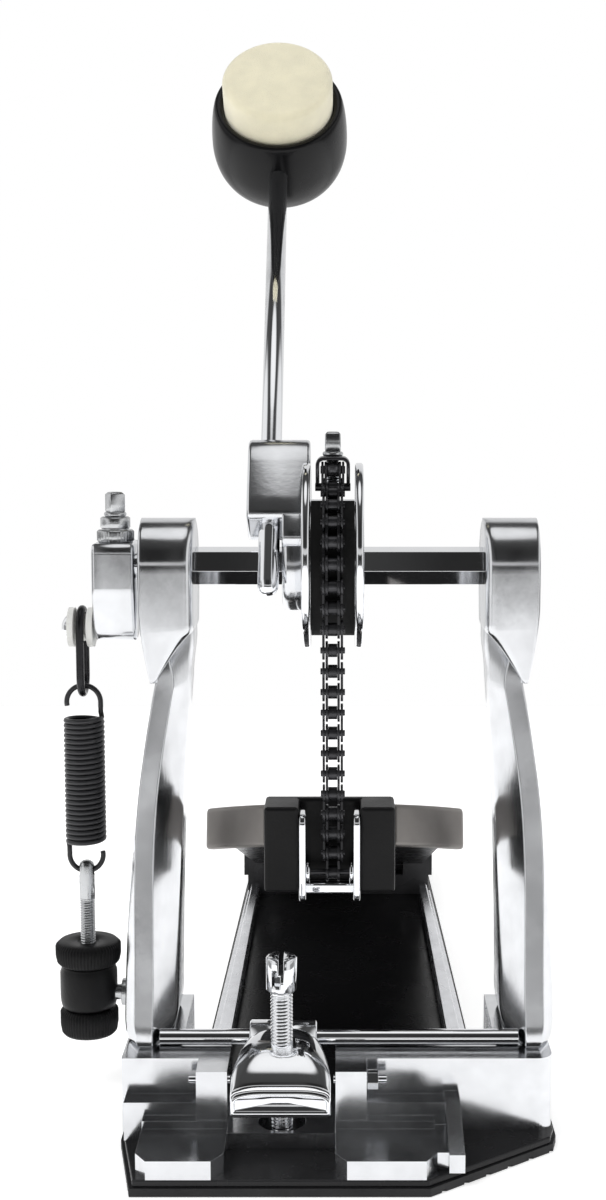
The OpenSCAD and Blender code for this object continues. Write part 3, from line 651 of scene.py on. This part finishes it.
def blade_ring(z):
    """Section of a post's body: a narrow front band set out from a slanting inner side."""
    inner, outer, front, rear = post_limits(min(z, 176))
    set_in = 0.7 + 3.6 * (1 - between(z, 45, 130))
    band = outer - set_in - 6.8
    foot = 2.4 * (1 - math.sqrt(max(0.0, 1 - (max(0.0, 42 - z) / 9.4) ** 2)))
    inner, outer, front, rear = inner + foot, outer - foot, front + foot, rear - foot
    depth = rear - front
    return filleted([(band, front, 0.7), (outer - set_in, front, 0.7), (outer, front + 0.16 * depth, 2.0),
                     (outer, rear, 3.5), (inner, rear, 3.5), (inner, front + 0.42 * depth, 3.0)], z)


def tongue_ring(z):
    """Section of a post's bearing housing, which ends below in a slanting point."""
    inner, outer = HOUSING_IN, HOUSING_IN + HOUSING_W
    drop = max(0.0, 192 - z)
    outer -= 4.6 * (drop / 30) ** 1.7
    inner += 14.2 * (max(0.0, 182 - z) / 19) ** 0.8 if z < 182 else 0
    inner = min(inner, outer - 0.6)
    if z > AXLE_Z:
        half = math.sqrt(max(0.3, HOUSING_R ** 2 - (z - AXLE_Z) ** 2))
        front, rear = -half, half
    else:
        front, rear = -HOUSING_R, HOUSING_R - 7 * between(z, 200, 165)
    soft = min(4.2, 0.3 * (outer - inner), 0.4 * (rear - front))
    return filleted([(inner, front, soft), (outer, front, 0.35 * soft), (outer, rear, 0.5 * soft),
                     (inner, rear, soft)], z)


def mirrored(ring, side):
    """The ring for the right post, or its mirror image for the left one."""
    return [(side * x, y, z) for x, y, z in (ring if side > 0 else ring[::-1])]


def post(side, name):
    """A polished cast post: a blade that bows outward, and a housing whose tongue runs down over it."""
    low = list(np.linspace(BLOCK_TOP, 42, 9)) + list(np.linspace(45, 186, 48))
    high = list(np.linspace(163, 205, 30))
    high += [AXLE_Z + HOUSING_R * math.sin(a) for a in np.linspace(0.06, math.radians(89.4), 26)]
    blade = capped([mirrored(blade_ring(z), side) for z in low])
    housing = capped([mirrored(tongue_ring(z), side) for z in high])
    add_piece(name + "_cast", *joined((*blade, None), (*housing, None)), name)


post(-1, "post_left")
post(1, "post_right")


# ---------------------------------------------------------------- clamp

def clamp_bolt():
    """The clamp's threaded rod and its slotted, cross-drilled head."""
    place = at(CLAW_X, BOLT_Y)
    add_piece("clamp_bolt_thread", *threaded(4.0, 9, 59.5, 1.25, 0.6), "clamp_bolt", place)
    head = [(3.3, 54), (3.3, 60), (4.9, 60), (5.45, 60.6), (5.45, 71.8), (4.9, 72.5), (0.3, 72.6)]
    piece = add_piece("clamp_bolt_head", *turned(head, 48), "clamp_bolt", place)
    for size, z, turn in (((1.7, 12, 9), 72, 0.0), ((12, 3.2, 3.2), 64.8, math.radians(70))):
        where = Matrix.Translation(Vector((CLAW_X, BOLT_Y, z)) * MM) @ Matrix.Rotation(turn, 4, "Z")
        cut_away(piece, "slot_cutter", *box_solid(*size), where)


def claw_top(y):
    """Height of the claw's back, an arc of 26 mm radius over Y -52."""
    return 16 + math.sqrt(max(0.0, 26 ** 2 - (y + 52) ** 2))


def claw_section(y, inset=0.0):
    """Section of the claw at y, drawn in by inset; near the tip it leans forward a little."""
    under = ((-74.6, PAD_TOP), (-65.5, PAD_TOP), (-63.5, 24.5), (-46, 27.5), (-38, 29.5), (-33, 31))
    low = float(np.interp(y, [p[0] for p in under], [p[1] for p in under])) + inset
    top = claw_top(y) - inset
    w = 17.45 - 5.0 * between(y, -70, -40) - inset
    crown = min(1.6 + 2.6 * between(y, -74, -60), 0.45 * (top - low))
    ring = filleted([(-w, low, 0.5), (w, low, 0.5), (w, top - crown, 2.4), (0.62 * w, top, 5),
                     (-0.62 * w, top, 5), (-w, top - crown, 2.4)], 0, 6)
    lean = 0.14 * (y < -73.5)
    return [(CLAW_X + a, y + lean * (b - low), b) for a, b, _ in ring]


def clamp_claw():
    """The claw: a domed back that widens towards a straight tip with a recessed face, and its eye."""
    tip = ((-73.6, 1.7), (-73.7, 1.6), (-74.3, 1.2), (-74.4, 0.9), (-74.3, 0.4))
    rings = [claw_section(y, inset) for y, inset in tip]
    rings += [claw_section(y) for y in np.linspace(-73.9, -37, 40)]
    eye = turned([(3.15, -12.2), (5.6, -12.2), (6.2, -11.6), (6.2, 11.6), (5.6, 12.2), (3.15, 12.2)], 48)
    pivot = at(CLAW_X, CLAW_PIVOT_Y, CLAW_PIVOT_Z) @ ALONG_X
    add_piece("clamp_claw_cast", *joined((*capped(rings), None), (*eye, pivot)), "clamp_claw")


clamp_bolt()
clamp_claw()


# ---------------------------------------------------------------- axle: hub, cam and rocker

def beater_hub():
    """The hub: a block with a round shoulder that holds the rod, and a collar on the axle."""
    block = filleted([(-2.4, 9, 2), (-20.6, 9, 2.5), (-21.3, 16, 2), (-21.3, 47, 15), (-2.4, 47, 3)], 0, 8)
    ear = filleted([(-2.4, -2, 2), (-20.4, -2, 5), (-20.9, 10, 1), (-2.4, 10, 1)], 0, 6)
    collar = turned([(6.5, -21.1), (14.6, -21.1), (16.2, -20.5), (17, -19), (17, -11.2), (6.5, -11.2)], 72)
    parts = [(*along_x_solid([p[:2] for p in block], -34.3, -10.9, 1.2), leaned()),
             (*along_x_solid([p[:2] for p in ear], -21.1, -11.0, 0.8), leaned()),
             (*collar, at(0, 0, AXLE_Z) @ ALONG_X)]
    add_piece("beater_hub_cast", *joined(*parts), "beater_hub")


def cam_flange(name):
    """A side disc of the cam, off the axle's centre, with a rounded rim and a shallow step."""
    r, bore, step_r, step, rise = 34.8, 7.5, 20.8, 0.35, 3.8
    x0, x1 = span_x(name)
    t = x1 - x0
    profile = [(bore, 0), (step_r - 0.8, 0), (step_r, step), (r - 3.2, step), (r - 2.2, 0), (r - 0.6, 0),
               (r, 0.55), (r, t - 0.55), (r - 0.6, t), (r - 2.2, t), (r - 3.2, t - step),
               (step_r, t - step), (step_r - 0.8, t), (bore, t)]
    add_piece(name + "_disc", *turned(profile, 128), name, at(x0, 0, AXLE_Z + rise) @ ALONG_X)


def key_head(side, height, foot):
    """A square key head with a pyramid end, from z foot up."""
    h = side / 2
    levels = ((h * 0.9, foot), (h, foot + 0.4), (h, height - 1.0), (h * 0.72, height - 0.1),
              (h * 0.5, height))
    return capped([filleted([(-a, -a, 0.5), (a, -a, 0.5), (a, a, 0.5), (-a, a, 0.5)], z, 3)
                   for a, z in levels])


def key_screw(node, matrix, r, length, seat_r, height):
    """A drum key screw: thread, round seat and a square head."""
    seat = [(0.3, -0.2), (seat_r - 0.6, -0.1), (seat_r, 0.5), (seat_r, 1.2), (seat_r - 0.5, 1.7),
            (0.3, 1.8)]
    parts = (threaded(r, -length, 0, 1.0, 0.35), turned(seat, 40), key_head(KEY_SIDE, height + 1.6, 1.6))
    add_piece(node + "_key", *joined(*((*part, None) for part in parts)), node, matrix)


def spring_rocker():
    """The rocker arm on the axle's end, a thick plate with a round lower end."""
    end_r, end_z, longest = 8, -20.5, 1.5
    outline = [(-11, 6.5), (-11, -9)]
    outline += [(end_r * math.cos(a), end_z + end_r * math.sin(a))
                for a in np.radians(np.linspace(190, 350, 24))]
    outline += [(11, -9), (11, 6.5), (9.5, 9), (-9.5, 9)]
    dense = []
    for a, b in zip(outline, outline[1:] + outline[:1]):
        steps = max(1, int(math.dist(a, b) / longest))
        dense += [(a[0] + (b[0] - a[0]) * k / steps, a[1] + (b[1] - a[1]) * k / steps)
                  for k in range(steps)]
    solid = along_x_solid([(y, z + AXLE_Z) for y, z in dense], ROCKER_X0, ROCKER_X1, 1.3)
    add_piece("spring_rocker_cast", *solid, "spring_rocker")


def rocker_collar():
    """A knurled collar with a smaller ring on top, on the rocker's upper face."""
    r, ridges = 7, 32
    profile = [(3.2, 0), (r - 0.7, 0), (r, 0.7), (r, 3.9), (r - 0.6, 4.6), (5.2, 4.7), (5.2, 5.2),
               (5.6, 5.6), (5.6, 9), (5.0, 9.5), (3.2, 9.6)]

    def ridge(a, s, z):
        """Cuts the grooves of the knurl into the rim."""
        return s - 0.35 * abs(math.sin(a * ridges / 2)) if s > r - 0.1 else s
    add_piece("rocker_collar_knurled", *turned(profile, 96, ridge), "rocker_collar",
              at(ROCKER_MID, 0, AXLE_Z + 9))


def key_screws():
    """The three drum key screws: on the rocker, the hub and the chain's saddle."""
    key_screw("rocker_screw", at(ROCKER_MID, 0, AXLE_Z + 18.6) @ Matrix.Rotation(0.52, 4, "Z"),
              3.0, 13.5, 4.2, 7.6)
    key_screw("hub_screw", leaned(ROD_X, -ROD_OFF + 10, 36) @ Matrix.Rotation(-math.pi / 2, 4, "X"),
              3.0, 5.6, 4.4, 6.8)
    key_screw("saddle_screw", at(CHAIN_X, 4.6, AXLE_Z + 41), 2.5, 25, 3.9, 7.6)


def saddle_strap():
    """The saddle's folded strap: up one side, over with round corners, and down the other."""
    half, low, high, thick, bend, y0, y1 = 6.4, 236.0, AXLE_Z + 41, 1.3, 3, -6.9, 9.9
    path = [(-half, low), (-half, high - bend - 0.6)]
    path += [(-half + bend - bend * math.cos(a), high - bend + bend * math.sin(a))
             for a in np.linspace(0.15, math.pi / 2, 7)]
    path += [(-x, z) for x, z in path[::-1]]
    section = filleted([(0, y0, 0.4), (thick, y0, 0.4), (thick, y1, 0.4), (0, y1, 0.4)], 0, 3)
    rings = []
    for i, (x, z) in enumerate(path):
        back, ahead = np.array(path[max(0, i - 1)]), np.array(path[min(len(path) - 1, i + 1)])
        way = (ahead - back) / np.linalg.norm(ahead - back)
        inward = np.array([way[1], -way[0]])
        rings.append([(CHAIN_X + x + inward[0] * a, b, z + inward[1] * a) for a, b, _ in section])
    return capped(rings)


def chain_saddle():
    """A folded steel saddle that clamps the chain's end link on the cam, and that link, held upright."""
    plate_r, plate_t, link_y, pin_low, pin_high = 3.1, 0.9, -3.6, 234.9, 241.2
    parts = [(*saddle_strap(), None)]
    for x in (-4.3, -3.1, 2.2, 3.4):
        plate = [(plate_r * math.cos(a) + link_y, pin + plate_r * math.sin(a))
                 for pin, start in ((pin_low, math.pi), (pin_high, 0))
                 for a in np.linspace(start, start + math.pi, 10)]
        parts.append((*along_x_solid(plate, CHAIN_X + x, CHAIN_X + x + plate_t, 0.2), None))
    roller = turned([(0.4, -4.6), (1.4, -4.6), (1.6, -2.9), (2.6, -2.8), (2.6, 2.8), (1.6, 2.9), (1.4, 4.6),
                     (0.4, 4.6)], 24)
    parts.append((*roller, at(CHAIN_X, link_y, pin_high) @ ALONG_X))
    add_piece("chain_saddle_folded", *joined(*parts), "chain_saddle")


beater_hub()
cam_flange("cam_flange_left")
cam_flange("cam_flange_right")
spring_rocker()
rocker_collar()
key_screws()
chain_saddle()


# ---------------------------------------------------------------- toe of the footboard

def toe_lip():
    """The satin lip round the toe, in two arms that end at the toe block."""
    board = at(0, HINGE_Y, HINGE_Z) @ Matrix.Rotation(-BOARD_SLOPE, 4, "X")
    section = filleted([(59.5, -7.5, 1.4), (64.5, -7.5, 1.8), (64.5, 8.6, 2.2), (59.5, 8.6, 1.8)], 0, 5)
    x, y = -1.6, -200
    parts = []
    for start, end in ((-38.7, -69.3), (-114.4, -141.3)):
        rings = [[(x + r * math.cos(a), y + r * math.sin(a), z) for r, z, _ in section]
                 for a in np.radians(np.linspace(start, end, 30))]
        parts.append((*capped(rings), board))
    add_piece("toe_lip_arms", *joined(*parts), "toe_lip")


def chain_bracket():
    """Two bright cheeks with round corners and bosses, tied at their lower ends."""
    thick = 2.5
    cheek = filleted([(-21.9, 80, 5), (-21.9, 114, 4), (-5.5, 114, 1.5), (-5.5, 80, 4)], 0, 7)
    tie = filleted([(-9.5, 80.2, 1), (-9.5, 84.5, 1), (-5.5, 84.5, 1), (-5.5, 80.2, 1)], 0, 4)
    boss = turned([(1.3, 0), (4.2, 0), (4.6, 0.4), (4.6, 1.5), (1.3, 1.6)], 32)
    parts = [(*along_x_solid([p[:2] for p in cheek], x, x + thick, 0.5), None) for x in (-14.9, 5.4)]
    parts.append((*along_x_solid([p[:2] for p in tie], -14, 7, 0.3), None))
    parts += [(*boss, at(x, BRACKET_PIN_Y, BRACKET_PIN_Z) @ ALONG_X) for x in (-12.6, 3.9)]
    add_piece("chain_bracket_cheeks", *joined(*parts), "chain_bracket")


toe_lip()
chain_bracket()
